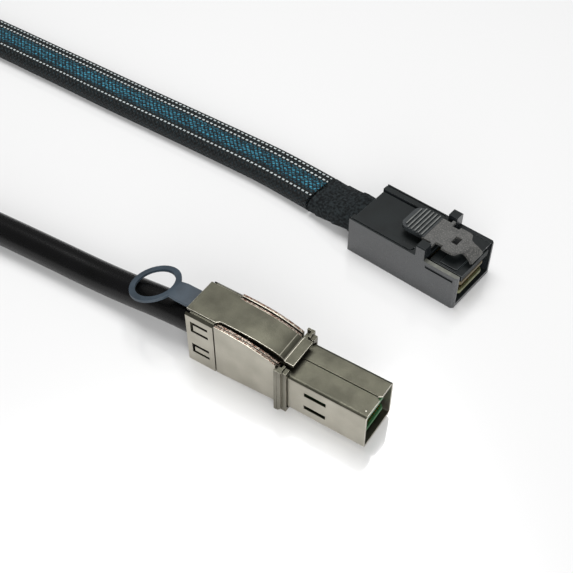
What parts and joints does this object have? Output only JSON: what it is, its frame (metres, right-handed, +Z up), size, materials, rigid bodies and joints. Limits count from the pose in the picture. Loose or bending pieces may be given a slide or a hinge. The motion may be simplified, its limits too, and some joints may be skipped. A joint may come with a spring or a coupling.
{
  "type": "mini sas hd cable",
  "caption": "Adaptor cable: a metal external plug with pull-ring release on a round cable, joined by a boot to a flat braided cable with a black latched internal plug.",
  "frame": {"origin": "middle of the underside of the external plug's flange, on the surface that both plugs lie on", "axes": "+X along the external plug towards its mating end, +Z up, +Y towards the internal plug that lies beside it, turned 6.5 degrees"},
  "size_m": [0.2671, 0.0819, 0.0169],
  "materials": {
    "nickel": "satin nickel plate",
    "dark_nickel": "satin nickel plate, a little darker",
    "card": "green solder mask on glass laminate",
    "wire": "foil-wrapped twin wires",
    "black_plastic": "moulded, satin",
    "ferrule_brass": "drawn brass",
    "blue_plastic": "moulded flexible tab",
    "grey_plastic": "moulded, mottled grey",
    "wrap_tape": "black cloth tape",
    "jacket": "smooth extruded jacket",
    "boot_rubber": "moulded black boot",
    "braid": "black mesh over blue ribbon wires"
  },
  "bodies": {
    "plugs_and_cable": {"cable_boot": "boot_rubber", "cable_round": "jacket", "cable_sleeve": "braid", "ext_cable_ferrule": "ferrule_brass", "ext_card_holder": "black_plastic", "ext_card_lower": "card", "ext_card_upper": "card", "ext_flange": "nickel", "ext_lower_shell": "nickel", "ext_nose_shell": "nickel", "ext_rear_band": "nickel", "ext_top_cover": "dark_nickel", "ext_upper_shell": "dark_nickel", "ext_wires_lower": "wire", "ext_wires_upper": "wire", "int_cable_wrap": "wrap_tape", "int_card_lower": "card", "int_card_upper": "card", "int_housing": "black_plastic", "int_insulator": "black_plastic", "int_top_cover": "black_plastic", "int_wires_lower": "wire", "int_wires_upper": "wire"},
    "release_tab": {"ext_pull_tab": "blue_plastic", "ext_release_slider": "nickel"},
    "latch_arm": {"ext_latch_arm": "nickel"},
    "latch_lever": {"int_latch_lever": "grey_plastic"}
  },
  "joints": [
    {"name": "release_slide", "type": "slide", "parent": "plugs_and_cable", "child": "release_tab", "axis": [-1, 0, 0], "range_m": [0, 0.002], "stiffness_N_per_m": 400, "springref_m": -0.002},
    {"name": "latch_drop", "type": "hinge", "parent": "plugs_and_cable", "child": "latch_arm", "pos_m": [-0.00833, 0, 0.01375], "axis": [0, 1, 0], "range_deg": [0, 2.5]},
    {"name": "lever_press", "type": "hinge", "parent": "plugs_and_cable", "child": "latch_lever", "pos_m": [0.00966, 0.05198, 0.0133], "axis": [-0.1132, -0.9936, 0], "range_deg": [0, 7], "stiffness_Nm_per_rad": 0.08, "springref_deg": -2.86}
  ],
  "couplings": [
    {"joint": "latch_drop", "follows": "release_slide", "rad_per_m": 21.5}
  ]
}
